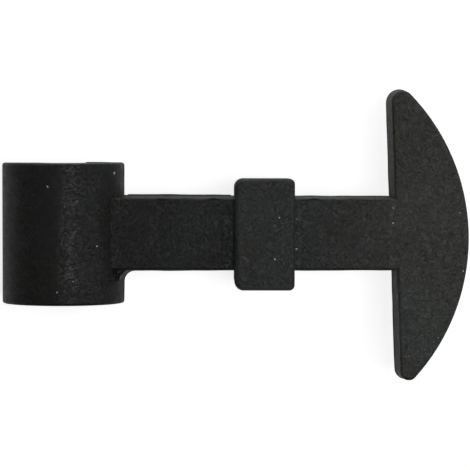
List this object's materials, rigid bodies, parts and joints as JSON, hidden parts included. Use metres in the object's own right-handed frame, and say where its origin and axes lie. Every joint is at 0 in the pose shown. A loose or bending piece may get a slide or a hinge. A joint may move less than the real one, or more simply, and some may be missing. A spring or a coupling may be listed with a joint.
{
  "type": "rubber t draw latch",
  "caption": "Moulded rubber draw latch strap with a pivot barrel, a shoulder block and a curved T handle.",
  "frame": {"origin": "centre of the pivot bore, on the barrel's axis", "axes": "+X along the strap to the handle, +Y along the pivot bore, +Z out of the front face"},
  "size_m": [0.0928, 0.0578, 0.0242],
  "materials": {
    "rubber": "matte moulded, lightly mottled"
  },
  "bodies": {
    "root": {"latch_strap": "rubber"}
  },
  "joints": []
}
